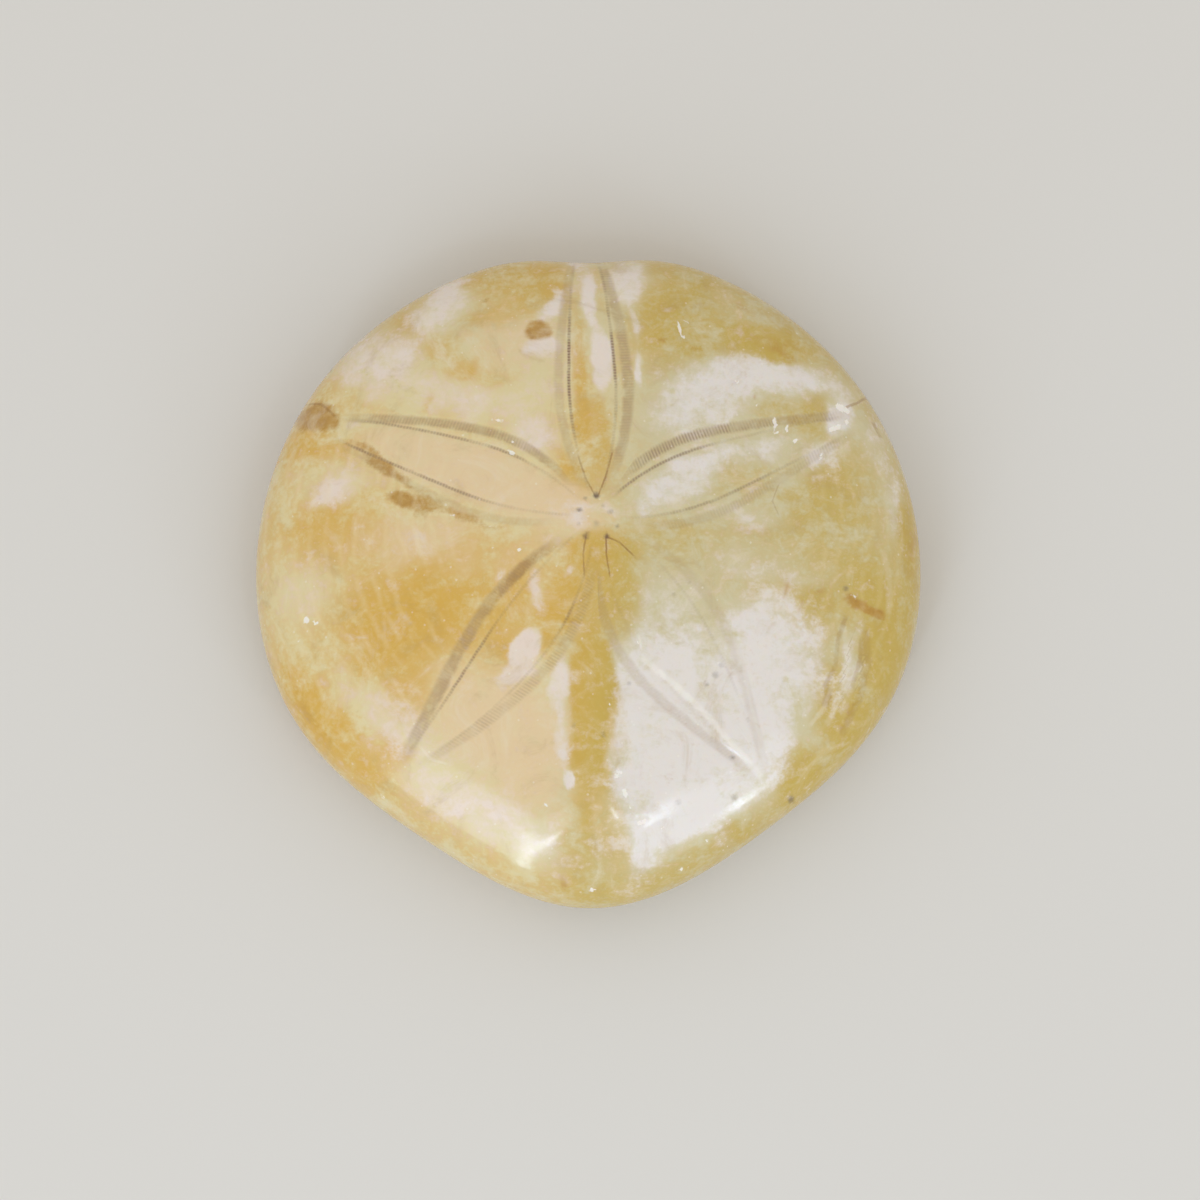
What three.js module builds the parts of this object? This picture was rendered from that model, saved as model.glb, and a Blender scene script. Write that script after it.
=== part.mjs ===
// A polished fossil sand dollar (an extinct echinoid), whose test and filling have turned to one
// piece of calcite. Millimetres, +Z up. It rests on the flat of its underside, and the origin is
// under the middle of its outline: +Y is the front of the animal and +X is its right-hand side
// as seen from above.
import * as THREE from "three";

// Driving dimensions.
const ROUND_RADIUS = 45.35; // of the outline where nothing swells or flattens it
const HEIGHT = 23; // from the resting plane to the apex
const WIDEST_HEIGHT = 8.5; // of the widest line round the rim
const APEX_FORWARD = 6.7; // the apex lies this far in front of the outline's middle
const APEX_RIGHT = 1.1; // and this far to the right of it
const MOUTH_FORWARD = 4.5; // and the mouth, on the underside, this far

// The outline is round, but for these lobes: where each one lies, how widely it spreads
// (both in degrees) and how far it moves the rim (negative flattens it).
const LOBES = [
  { name: "right front corner", at: 45, spread: 26, by: 1.1 },
  { name: "left front corner", at: 138, spread: 24, by: 1.2 },
  { name: "right side of the notch", at: 78, spread: 14, by: 0.8 },
  { name: "left side of the notch", at: 103, spread: 14, by: 0.7 },
  { name: "front notch", at: 90, spread: 7, by: -1.6 },
  { name: "left hind flank", at: 236, spread: 20, by: -3.9 },
  { name: "right hind flank", at: 307, spread: 20, by: -3.9 },
  { name: "hind beak", at: 270, spread: 10, by: 0.6 },
];

// The upper surface is a low cone mixed with a flat-topped dome, which rounds over the rim.
const CONE_SHARE = 0.42;
const CONE_POWER = 1.7;
const DOME_POWER = 12;

// A low flat-topped keel runs from the apex back to the hind beak.
const KEEL_HEIGHT = 0.7;
const KEEL_HALF_WIDTH = 5;
const KEEL_FADE = 23; // it takes this far behind the apex to reach its full height

// The underside, with each reach a share of the way from the mouth to the outline.
const FOOT_OUTER = 0.8; // the flat that it rests on begins here
const FOOT_INNER = 0.62; // and ends here, where the basin round the mouth begins
const MOUTH_REACH = 0.1;
const BASIN_DEPTH = 2.8;
const MOUTH_DEPTH = 2.0; // below the basin's floor
const GROOVE_DEPTH = 0.7; // of the food grooves that meet at the mouth
const RAYS = 5; // of the grooves, the first one to the front

// Mesh counts.
const SIDES = 96;
const TOP_ROWS = 18;
const RIM_ROWS = 6;
const FOOT_ROWS = 2;
const BASIN_ROWS = 7;
const MOUTH_ROWS = 2;

const FRONT = THREE.MathUtils.degToRad(90);
const APEX = new THREE.Vector2(APEX_RIGHT, APEX_FORWARD);
const MOUTH = new THREE.Vector2(0, MOUTH_FORWARD);

// A smooth bump of height 1 round a direction, in radians.
function swell(angle, at, spread) {
  const turn = Math.atan2(Math.sin(angle - at), Math.cos(angle - at));
  return Math.exp(-0.5 * (turn / spread) ** 2);
}

function outlineRadius(angle) {
  const degrees = THREE.MathUtils.degToRad;
  return LOBES.reduce(
    (radius, lobe) => radius + lobe.by * swell(angle, degrees(lobe.at), degrees(lobe.spread)),
    ROUND_RADIUS,
  );
}

// Height over the resting plane of the upper surface, at a place in plan.
function topHeight(reach, plan) {
  const cone = 1 - reach ** CONE_POWER;
  const dome = Math.sqrt(Math.max(0, 1 - reach ** DOME_POWER));
  const rise = CONE_SHARE * cone + (1 - CONE_SHARE) * dome;
  const behind = THREE.MathUtils.smoothstep(APEX.y - plan.y, 0, KEEL_FADE);
  const keel = behind * Math.exp(-((plan.x / KEEL_HALF_WIDTH) ** 4)) * (1 - reach ** 4);
  return WIDEST_HEIGHT + (HEIGHT - WIDEST_HEIGHT) * rise + KEEL_HEIGHT * keel;
}

// Height of the basin's floor: it deepens towards the mouth, most along the food grooves.
function basinHeight(reach, plan) {
  const inward = THREE.MathUtils.clamp((FOOT_INNER - reach) / (FOOT_INNER - MOUTH_REACH), 0, 1);
  const fall = 0.5 - 0.5 * Math.cos(Math.PI * inward);
  const mouth = THREE.MathUtils.clamp(1 - reach / MOUTH_REACH, 0, 1);
  const angle = Math.atan2(plan.y - MOUTH.y, plan.x - MOUTH.x);
  const groove = (0.5 + 0.5 * Math.cos(RAYS * (angle - FRONT))) * Math.sin(Math.PI * inward);
  return BASIN_DEPTH * fall + GROOVE_DEPTH * groove * fall + MOUTH_DEPTH * mouth;
}

// One ring of the surface: its reach, whether it lies on the underside, and its height.
function rings() {
  const found = [];
  const add = (reach, under, height) => found.push({ reach, under, height });
  for (let row = 1; row <= TOP_ROWS; row++) {
    const reach = Math.sin((row / TOP_ROWS) * (Math.PI / 2)) ** 0.8;
    add(reach, false, (plan) => topHeight(reach, plan));
  }
  for (let row = 1; row <= RIM_ROWS; row++) {
    const turn = (row / RIM_ROWS) * (Math.PI / 2);
    const reach = FOOT_OUTER + (1 - FOOT_OUTER) * Math.cos(turn);
    add(reach, true, () => WIDEST_HEIGHT * (1 - Math.sin(turn)));
  }
  for (let row = 1; row <= FOOT_ROWS; row++) {
    const reach = THREE.MathUtils.lerp(FOOT_OUTER, FOOT_INNER, row / FOOT_ROWS);
    add(reach, true, () => 0);
  }
  for (let row = 1; row <= BASIN_ROWS; row++) {
    const reach = THREE.MathUtils.lerp(FOOT_INNER, MOUTH_REACH, row / BASIN_ROWS);
    add(reach, true, (plan) => basinHeight(reach, plan));
  }
  for (let row = 1; row < MOUTH_ROWS; row++) {
    const reach = MOUTH_REACH * (1 - row / MOUTH_ROWS);
    add(reach, true, (plan) => basinHeight(reach, plan));
  }
  return found;
}

// The points of one ring, anticlockwise as seen from above, from the right-hand side.
function ringPoints(ring) {
  const middle = ring.under ? MOUTH : APEX;
  return Array.from({ length: SIDES }, (_, side) => {
    const angle = (side / SIDES) * 2 * Math.PI;
    const rim = new THREE.Vector2(Math.cos(angle), Math.sin(angle));
    rim.multiplyScalar(outlineRadius(angle));
    const plan = middle.clone().lerp(rim, ring.reach);
    return new THREE.Vector3(plan.x, plan.y, ring.height(plan));
  });
}

// The closed surface, from the apex over the rim to the middle of the mouth.
function testGeometry() {
  const loops = rings().map(ringPoints);
  const apex = new THREE.Vector3(APEX.x, APEX.y, HEIGHT);
  const mouth = new THREE.Vector3(MOUTH.x, MOUTH.y, BASIN_DEPTH + MOUTH_DEPTH);
  const points = [apex, ...loops.flat(), mouth];
  const at = (ring, side) => 1 + ring * SIDES + (side % SIDES);
  const faces = [];
  for (let side = 0; side < SIDES; side++) {
    faces.push(0, at(0, side), at(0, side + 1));
    for (let ring = 0; ring + 1 < loops.length; ring++) {
      faces.push(at(ring, side), at(ring + 1, side), at(ring + 1, side + 1));
      faces.push(at(ring, side), at(ring + 1, side + 1), at(ring, side + 1));
    }
    faces.push(at(loops.length - 1, side + 1), at(loops.length - 1, side), points.length - 1);
  }
  const geometry = new THREE.BufferGeometry().setFromPoints(points);
  geometry.setIndex(faces);
  geometry.computeVertexNormals();
  return geometry;
}

// The outline's own middle is moved to the origin.
function centred(geometry) {
  geometry.computeBoundingBox();
  const middle = geometry.boundingBox.getCenter(new THREE.Vector3());
  return geometry.translate(-middle.x, -middle.y, 0);
}

// Honey-coloured calcite, ground and polished.
const polishedCalcite = new THREE.MeshStandardMaterial({
  color: "#d8bd80",
  roughness: 0.22,
  metalness: 0,
});

const sandDollar = new THREE.Group();
const test = new THREE.Mesh(centred(testGeometry()), polishedCalcite);
test.name = "fossil_test";
sandDollar.add(test);

export default sandDollar;
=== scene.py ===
import math

import bpy
import numpy as np
from bpy.props import FloatProperty, FloatVectorProperty, IntProperty, PointerProperty
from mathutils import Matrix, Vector


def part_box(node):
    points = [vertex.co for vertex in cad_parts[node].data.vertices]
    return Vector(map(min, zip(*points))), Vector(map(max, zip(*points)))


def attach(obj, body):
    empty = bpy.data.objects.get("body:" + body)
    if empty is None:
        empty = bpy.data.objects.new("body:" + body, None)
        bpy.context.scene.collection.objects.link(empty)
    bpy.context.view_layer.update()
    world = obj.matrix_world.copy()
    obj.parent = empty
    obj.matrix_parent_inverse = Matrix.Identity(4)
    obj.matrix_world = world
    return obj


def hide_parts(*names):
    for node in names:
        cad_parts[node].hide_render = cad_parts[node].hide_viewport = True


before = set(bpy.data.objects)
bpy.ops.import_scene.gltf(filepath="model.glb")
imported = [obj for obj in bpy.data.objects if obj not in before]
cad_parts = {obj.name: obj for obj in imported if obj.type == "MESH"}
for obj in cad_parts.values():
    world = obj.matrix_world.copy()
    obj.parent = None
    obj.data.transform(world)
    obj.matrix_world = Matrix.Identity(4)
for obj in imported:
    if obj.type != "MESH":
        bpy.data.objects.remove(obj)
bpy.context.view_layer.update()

bl_info = {
    "name": "Polished Fossil Sand Dollar",
    "version": (1, 0, 0),
    "blender": (4, 5, 0),
    "location": "View3D > Sidebar > Sand Dollar",
    "description": "Makes a ground and polished fossil sand dollar and a plain stage for it",
    "category": "Add Mesh",
}

MM = 0.001
NODE = "fossil_test"
CAD_LOW, CAD_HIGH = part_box(NODE)


def linear(code):
    """A linear RGB colour from an sRGB hex code such as "E2C8A0"."""
    shares = [int(code[i:i + 2], 16) / 255 for i in (0, 2, 4)]
    return tuple(c / 12.92 if c <= 0.04045 else ((c + 0.055) / 1.055) ** 2.4 for c in shares)


# ---------------- the stone's own data
# All places below are millimetres to the right of the apex and in front of it, in plan, and all
# turns are degrees anticlockwise from the right-hand side, as seen from above.

# The outline is round, but for these lobes: where each lies, its spread, and how far it moves
# the rim.
LOBES = (
    ("right front corner", 45, 26, 1.1),
    ("left front corner", 138, 24, 1.2),
    ("right side of the notch", 78, 14, 0.8),
    ("left side of the notch", 103, 14, 0.7),
    ("front notch", 90, 7, -1.6),
    ("left hind flank", 236, 20, -3.9),
    ("right hind flank", 307, 20, -3.9),
    ("hind beak", 270, 10, 0.6),
)

# The five petals: direction of the axis, length, and how far it has bent to the right at
# BEND_AT.
# Then for the side left of the axis and for the one right of it: where along the petal it is
# widest (a share), its half width to the inner pores and to the outer band there, what stays
# open at the tip, how wide the band is, from where to where the line of pores is dark, and how
# strongly it shows its line, its band and the band's stripes.
PETALS = (
    ("front", 92.2, 40, 0.0,
     (0.45, 3.0, 4.4, 1.35, 1.1, 11, 28, 1.0, 0.5, 0.15),
     (0.45, 3.3, 5.0, 1.35, 1.25, 15, 29, 0.9, 0.8, 0.3)),
    ("left", 159.6, 38.5, 0.0,
     (0.42, 3.15, 5.2, 1.3, 1.0, 15, 38, 0.65, 0.35, 0.1),
     (0.42, 4.1, 6.0, 1.3, 1.1, 9, 36, 0.6, 0.9, 0.35)),
    ("hind left", 239.2, 42, 1.9,
     (0.42, 4.05, 5.5, 0.8, 1.3, 12, 15, 0.6, 0.3, 1.0),
     (0.45, 3.6, 5.9, 0.8, 1.45, 21, 33, 0.68, 1.0, 0.15)),
    ("hind right", 303.0, 42, 0.0,
     (0.42, 4.3, 6.5, 0.3, 1.2, 10, 30, 0.15, 0.3, 0.0),
     (0.42, 4.8, 7.3, 0.3, 1.2, 10, 30, 0.1, 0.45, 0.2)),
    ("right", 21.8, 38.5, 0.0,
     (0.38, 3.7, 5.6, 1.0, 1.2, 4, 17, 0.72, 0.8, 1.0),
     (0.38, 3.7, 5.5, 1.0, 1.1, 9, 27, 0.5, 0.35, 0.6)),
)
BEND_AT = 30

# The keel: half its width at first and at the beak, how far behind the apex it widens and dies
# away, and how far its middle lies to the left of the apex.
KEEL_HALF_WIDTHS = (3.0, 6.6)
KEEL_WIDENS = (31, 47)
KEEL_ENDS = (38, 47)
KEEL_LEFT = 0.6

# The oval vent in the underside: its place from the outline's middle, half length, half width
# and turn.
VENT = ((0, -37), 3.4, 2.3, 90)

RAYS = 5  # of the food grooves that meet at the mouth, the first one to the front
LIP_HEIGHT = 0.7  # of the swelling beside the mouth between each two of them
LINE_HALF_WIDTH = 0.34  # of a petal's inner line of pores and of the groove it lies in
BAND_HALF_WIDTH = 0.62  # of the hollow along its outer band, in band widths
FAINT = 0.3  # what a line of pores keeps of its strength outside its dark stretch
PORE_DEPTH = 0.22  # of the darkest pores of the apical disc
WAVE_HEIGHT = 0.05  # of the slow waves that polishing by hand leaves
WAVE_SPACING = 9.0
CHIP_LIP = 0.3  # by which a chip's hollow reaches beyond its white middle
GROWTH_SPACING = 2.1  # between the growth lines of the plates

# Stains of milky calcite, one of them partly a painted reflection: place, half length, half width,
# turn, edge softness (a share of the size) and strength. The other kinds follow in the same way.
MILK_AND_SHEEN = (
    # On the left.
    (-20.5, 32, 3.8, 2.4, 70, 0.7, 0.85),
    (-22, 28.4, 3.4, 2.5, 10, 0.7, 0.8),
    (-29, 21.8, 5.2, 3.2, 5, 0.7, 0.85),
    (-21, 17.3, 6.5, 2.6, -8, 0.8, 0.6),
    (-33, 24.5, 4.0, 2.2, 45, 0.9, 0.6),
    (-13, 15.6, 4.0, 2.0, 0, 0.9, 0.4),
    (-7.6, 10.8, 3.4, 2.3, -45, 0.6, 0.8),
    (-8, 18.5, 3.5, 5.0, 0, 0.9, 0.4),
    (-6.2, 29.2, 2.5, 1.3, 50, 0.5, 0.9),
    (-7.6, 23.8, 2.4, 1.1, 0, 0.6, 0.9),
    (-33, 13.6, 0.9, 0.7, 0, 0.6, 0.6),
    (-35, 4.6, 3.4, 2.6, 15, 0.8, 0.75),
    (-39.5, -8.6, 5.0, 3.4, 10, 0.9, 0.4),
    (-30.5, -24.2, 4.0, 2.2, -40, 0.8, 0.5),
    (-25.5, -27.6, 3.0, 2.8, 0, 0.8, 0.5),
    (-21, -31, 4.5, 2.5, -30, 0.8, 0.45),
    (-11, -20.8, 3.2, 1.7, 35, 0.5, 0.8),
    # Partly milky calcite and partly a painted reflection, which whitens the left window's sheen on the
    # hind left flank.
    (-14.5, -39.5, 11.5, 3.4, -30, 0.5, 0.55),
    (-5.0, -22.8, 3.4, 1.5, 82, 0.35, 0.85),
    (-4.7, -29, 4.5, 0.8, 96, 0.5, 0.6),
    (-7.8, -10, 3.4, 0.8, 86, 0.6, 0.6),
    (-3.7, -7.3, 1.1, 0.5, 50, 0.5, 0.6),
    (-12.9, -8.0, 0.8, 0.5, 45, 0.5, 0.5),
    (-3.0, 0.9, 2.4, 1.1, 0, 0.7, 0.5),
    (-4.4, -2.0, 2.6, 1.0, 20, 0.7, 0.3),
    (1.0, 0.8, 2.6, 0.8, 0, 0.6, 0.5),
    # In the front petal and on the right.
    (-0.9, 30.5, 4.4, 0.95, 96, 0.4, 1.0),
    (0.75, 22, 5.0, 1.25, 94, 0.35, 1.0),
    (-2.0, 37, 2.5, 1.2, 20, 0.8, 0.5),
    (-3.0, 33.5, 2.6, 1.0, 90, 0.7, 0.45),
    (4.3, 33.8, 3.9, 2.8, 88, 0.45, 0.85),
    (5.6, 20.2, 2.4, 0.4, 90, 0.5, 0.8),
    (4.9, 27.6, 2.8, 0.5, 100, 0.5, 0.5),
    (14.6, 16.2, 7.0, 3.8, 24, 0.7, 0.88),
    (24.5, 19.6, 9.0, 2.3, -2, 0.7, 0.88),
    (16, 20.0, 6.0, 1.6, 5, 0.8, 0.6),
    (12, 5.4, 5.4, 2.5, 26, 0.7, 0.8),
    (30.0, 9.2, 2.8, 1.9, 40, 0.7, 0.6),
    (7.4, 1.0, 2.6, 1.4, 60, 0.7, 0.7),
    (16.5, 9.0, 3.6, 1.0, 20, 0.8, 0.6),
    (23.2, 10, 3.2, 1.6, 15, 0.8, 0.65),
    (32.6, 14.7, 2.4, 1.9, 60, 0.4, 0.95),
    (37.5, 12.5, 3.4, 2.6, 90, 0.9, 0.5),
    (40.3, 4, 5.5, 1.6, 100, 0.9, 0.5),
    (19.5, 0.6, 5.0, 1.6, 0, 0.9, 0.35),
    (20.5, -6.4, 6.0, 1.8, -8, 0.9, 0.35),
    (26.8, -8.6, 2.8, 0.9, 0, 0.7, 0.4),
    (9.5, -12, 5.5, 4.0, -40, 0.9, 0.5),
    # The great patch round the hind right petal.
    (11.5, -26, 14.0, 8.2, -46, 0.35, 0.97),
    (22.5, -20.5, 9.8, 7.2, 80, 0.4, 0.92),
    (19.4, -28.6, 7.0, 5.2, -45, 0.3, 0.92),
    (9, -37, 8.0, 5.6, 50, 0.3, 0.97),
    (14.5, -38.6, 6.0, 2.6, 30, 0.35, 0.95),
    (4.4, -34, 7.0, 3.0, 95, 0.4, 0.75),
    (6, -43.5, 3.4, 1.8, 70, 0.7, 0.7),
    (34, -19.5, 5.5, 0.9, 83, 0.8, 0.6),
    (32.6, -22, 3.0, 1.1, 75, 0.8, 0.45),
    (17, -42.3, 5.0, 1.5, 150, 0.8, 0.25),
    (3, -43.8, 4.0, 2.2, 0, 0.9, 0.45),
)

# Peach: lightly stained calcite.
PEACH = (
    (-15, 5.6, 17.5, 3.9, -20.5, 0.3, 0.85),
    (-25, -3, 8.0, 3.6, 0, 0.9, 0.6),
    (-12, -29, 12.0, 7.5, -35, 0.6, 0.85),
    (-9, -4, 7.0, 3.0, 20, 0.9, 0.4),
    (-12, 24.5, 5.0, 4.6, 0, 0.9, 0.55),
    (0.5, -31.5, 1.3, 2.2, 0, 0.8, 0.5),
)

# Honey: calcite stained by iron.
HONEY = (
    # In front, on the left.
    (-10.5, 33.8, 7.5, 4.0, -8, 0.5, 0.5),
    (-7.5, 33.4, 2.6, 3.4, 0, 0.9, 0.35),
    (-13.2, 28.8, 4.6, 1.3, 6, 0.7, 0.55),
    (-26.4, 27, 2.4, 3.4, -25, 0.8, 0.45),
    (-21.6, 22.9, 2.6, 2.0, 0, 0.8, 0.55),
    (-18.6, 20.6, 2.6, 1.0, 52, 0.8, 0.6),
    (-15, 18.4, 3.2, 1.8, 0, 0.9, 0.45),
    (-23, 15.9, 1.5, 0.5, 75, 0.8, 0.5),
    (-35, 18.4, 4.0, 2.0, -30, 0.9, 0.3),
    # In the front petal.
    (-2.2, 17.5, 9.5, 1.1, 93, 0.35, 0.55),
    (0.2, 11.2, 6.2, 1.9, 91, 0.5, 0.5),
    (-4.2, 6.6, 4.4, 1.8, 115, 0.8, 0.7),
    # On the left and along the keel.
    (-38.8, 11, 5.2, 2.8, -8, 0.7, 0.6),
    (-36, -1.0, 5.8, 5.2, 0, 0.6, 0.6),
    (-30.5, -2.0, 2.6, 3.8, 5, 0.9, 0.4),
    (-24.5, -14, 9.0, 9.0, 0, 0.6, 0.7),
    (-27.5, -16, 5.5, 4.4, 0, 0.9, 0.35),
    (-23, -10.8, 2.0, 3.6, 10, 0.9, 0.35),
    (-13.5, -4.6, 6.5, 2.4, 5, 0.9, 0.5),
    (-17.5, -9.5, 4.5, 4.0, 0, 0.9, 0.4),
    (-10.5, -10, 6.0, 2.2, 55, 0.8, 0.5),
    (-12.6, -17.4, 2.2, 1.5, 60, 0.7, 0.5),
    (-4.2, -11, 5.5, 2.6, 80, 0.7, 0.65),
    (1.6, -10.5, 6.6, 4.2, 90, 0.6, 0.62),
    (0.2, -37, 4.4, 2.4, 85, 0.5, 0.85),
    (-1.8, -44, 4.0, 3.6, 85, 0.7, 0.55),
    (-7.6, -14.2, 2.8, 2.0, 60, 0.7, 0.65),
    (-27, -31.6, 2.6, 1.8, -40, 0.7, 0.45),
    (-38.4, -24.6, 5.5, 3.0, -58, 0.7, 0.8),
    (-32.8, -30.6, 5.5, 2.4, -45, 0.7, 0.55),
    (-24.6, -22.6, 3.0, 1.8, 40, 0.8, 0.5),
    (-20, -12, 4.0, 2.0, 60, 0.9, 0.3),
    (-2.0, -35.5, 1.6, 3.0, 0, 0.7, 0.3),
    # On the right, from the front to the beak.
    (11.5, 30, 7.6, 6.0, 60, 0.6, 0.45),
    (12.2, 32.3, 4.0, 2.4, 70, 0.9, 0.3),
    (7.4, 27.4, 2.2, 3.6, 0, 0.8, 0.4),
    (13, 24.2, 4.6, 2.0, 0, 0.8, 0.45),
    (23.0, 24.8, 5.8, 3.0, -14, 0.5, 0.9),
    (11, 20.6, 4.0, 1.3, 10, 0.9, 0.3),
    (24, 15.6, 4.6, 1.7, 5, 0.9, 0.5),
    (28.2, 13.4, 3.0, 2.2, 0, 0.8, 0.55),
    (18, 6.2, 4.5, 1.7, 24, 0.9, 0.4),
    (31, 3.0, 6.4, 4.0, 10, 0.7, 0.48),
    (34.6, 9.4, 4.0, 2.4, 40, 0.9, 0.4),
    (43, -1, 5.5, 1.5, 92, 0.7, 0.85),
    (10, -3, 7.0, 2.2, -12, 0.9, 0.45),
    (33, -5, 9.0, 4.6, -8, 0.9, 0.4),
    (27, -10.6, 5.5, 2.2, -12, 0.8, 0.6),
    (28, -14.5, 3.2, 2.6, 0, 0.8, 0.45),
    (38.6, -16, 9.0, 4.0, 104, 0.6, 0.8),
    (33.5, -26.5, 8.5, 3.6, 122, 0.5, 0.75),
    (27, -34.2, 6.0, 2.8, 136, 0.5, 0.75),
    (18.5, -40.6, 8.0, 1.6, 150, 0.6, 0.4),
)

# Rust: where the iron lies thickest.
RUST = (
    (-8.1, 26.0, 1.8, 1.5, -10, 0.3, 0.9),
    (-38.4, 15.3, 3.5, 2.0, -16, 0.35, 1.0),
    (-35.3, 14.1, 1.3, 1.0, -20, 0.5, 0.6),
    (-26.2, 2.4, 1.9, 1.0, -14, 0.4, 0.95),
    (-23.0, 1.7, 2.8, 1.0, -10, 0.5, 0.7),
    (-18.0, -0.2, 4.2, 0.6, -14, 0.6, 0.6),
    (-28.6, 7.3, 5.6, 0.75, -39, 0.5, 0.8),
    (-10.2, -7.8, 3.8, 0.7, 46, 0.5, 0.75),
    (34.2, -11.3, 1.2, 0.8, -30, 0.5, 0.7),
    (36.4, -12.1, 2.5, 0.95, -24, 0.4, 1.0),
    (25, -9.8, 1.7, 0.35, 84, 0.6, 0.5),
    (27.2, -11.4, 1.6, 0.4, 76, 0.6, 0.4),
    (29.8, -9.6, 1.5, 0.5, 10, 0.7, 0.4),
    (24.2, 25.4, 3.6, 1.4, -22, 0.9, 0.4),
    (26.2, 23.3, 2.0, 0.7, -40, 0.9, 0.4),
    (13.3, 24.2, 1.6, 0.8, 0, 0.9, 0.3),
    (19.7, 30.4, 1.3, 0.5, -20, 0.7, 0.5),
    (9, 24.6, 0.6, 0.4, 0, 0.6, 0.6),
    (21, 16.9, 0.4, 0.7, 0, 0.7, 0.45),
    (-15.2, 31, 0.6, 0.25, 35, 0.5, 0.65),
    (43, -2, 4.0, 0.7, 93, 0.7, 0.4),
    (-4.4, -47.6, 0.9, 0.6, 90, 0.8, 0.5),
    (33.8, -25.6, 2.8, 0.6, 66, 0.9, 0.4),
    (-29, -16.3, 2.6, 1.4, 70, 0.9, 0.3),
    (-24.6, -14.2, 3.6, 1.0, 80, 0.9, 0.25),
    (0.2, -27, 3.6, 1.2, 90, 0.9, 0.2),
    (-38.6, -25.6, 3.5, 1.0, -58, 0.9, 0.35),
    (-3.7, -13.2, 1.4, 0.5, 60, 0.7, 0.5),
)

SOFT_STAINS = {"milk": MILK_AND_SHEEN, "peach": PEACH, "honey": HONEY, "rust": RUST}

# Crisp stains, which cover the soft ones and each other in this order. The last is a painted highlight.
CRISP_STAINS = (
    ("honey", 2.2, -11, 6.4, 3.5, 93, 0.28, 0.5),
    ("milk", -9.6, -17.5, 2.9, 1.7, 55, 0.2, 1.0),
    ("honey", -0.3, -23.6, 8.6, 3.2, 91, 0.2, 0.95),
    ("honey", -1.3, -31.4, 4.6, 2.35, 92, 0.25, 0.9),
    ("honey", 0.6, -4.6, 5.0, 2.6, 0, 0.28, 0.65),
    ("peach", 3.0, -29.0, 4.5, 1.5, 92, 0.29, 0.35),
    ("peach", 2.2, -41.6, 5.0, 2.3, 104, 0.29, 0.45),
    ("honey", 2.4, -42.2, 4.6, 2.0, 97, 0.29, 0.42),
    # A painted highlight: a white spot where the keel's left edge catches the light.
    ("milk", -3.6, -35.0, 1.35, 0.8, 92, 0.15, 0.95),
)

# Pores of the apical disc: place, radius and darkness.
PORES = (
    ("front ocular", 0.0, 2.75, 0.42, 1.0),
    ("left ocular", -2.2, 0.75, 0.34, 0.75),
    ("right ocular", 1.85, 0.55, 0.32, 0.8),
    ("hind left ocular", -1.35, -2.75, 0.42, 0.95),
    ("hind right ocular", 1.35, -2.85, 0.36, 0.8),
    ("left front genital", -1.45, 2.2, 0.26, 0.75),
    ("right front genital", 1.05, 1.4, 0.24, 0.55),
    ("left hind genital", -2.45, -1.15, 0.22, 0.5),
    ("right hind genital", 2.75, -1.45, 0.24, 0.55),
    ("sieve plate", 0.0, -1.2, 0.5, 0.3),
)

# Specks: dark grains set in the stone, as place, radius and darkness.
SPECKS = (
    (15.8, -21.1, 0.45, 0.4),
    (14.5, -22.3, 0.3, 0.55),
    (16.6, -19.8, 0.25, 0.5),
    (18.0, -31.9, 0.26, 0.7),
    (10.3, -10.6, 0.22, 0.5),
    (12.2, -8.8, 0.3, 0.3),
    (26.1, -36.8, 0.42, 0.75),
    (0.9, -29.1, 0.3, 0.6),
    (-3.0, -27.9, 0.26, 0.4),
    (18.3, -37.0, 0.4, 0.35),
    (4.3, -22.3, 0.25, 0.45),
    (20.1, -26.9, 0.2, 0.4),
    (10.8, -37.8, 0.35, 0.3),
    (33.3, -9.2, 0.35, 0.7),
)

# Swells that the polishing wheel left: place, radius and height.
SWELLS = (
    (-3.4, -33.6, 1.7, 0.13),
    (3.0, -33.0, 1.6, 0.10),
    (3.8, -36.2, 1.5, 0.07),
    (5.6, -39.2, 1.6, 0.08),
    (-12.5, -36.0, 4.5, 0.12),
    (-17.5, -20.5, 4.0, 0.05),
    (13.0, -33.0, 5.0, 0.10),
)

# Hairline cracks filled with iron: the points each one runs through, its half width and its
# strength.
CRACKS = (
    (((33.2, -13.2), (32.2, -16.0), (31.8, -19.6), (30.4, -22.2)), 0.26, 0.32),
    (((31.0, -22.8), (30.5, -24.6)), 0.4, 0.4),
    (((35.4, -16.0), (35.2, -18.6), (34.2, -22.0)), 0.25, 0.3),
    (((36.0, -15.0), (36.4, -18.6), (35.4, -23.0), (33.0, -28.0)), 0.4, 0.25),
    (((37.6, 19.2), (35.6, 17.2), (33.9, 16.2)), 0.16, 0.5),
    (((37.8, 14.4), (38.6, 12.8)), 0.2, 0.45),
    (((1.4, -2.9), (3.0, -3.6), (4.7, -5.2)), 0.1, 0.75),
    (((1.3, -2.9), (1.3, -5.2), (1.7, -7.8)), 0.1, 0.75),
    (((-1.4, -3.0), (-1.75, -5.0), (-1.6, -8.0)), 0.1, 0.55),
    (((-0.3, 2.9), (-1.4, 5.0), (-2.4, 8.0)), 0.1, 0.5),
    (((0.3, 2.9), (1.2, 5.2), (2.1, 8.5)), 0.1, 0.6),
    (((24.3, 4.4), (23.5, 2.4), (24.2, 0.8)), 0.08, 0.35),
    (((-39.8, 17.6), (-37.4, 16.9), (-35.6, 15.0)), 0.14, 0.5),
)
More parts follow.
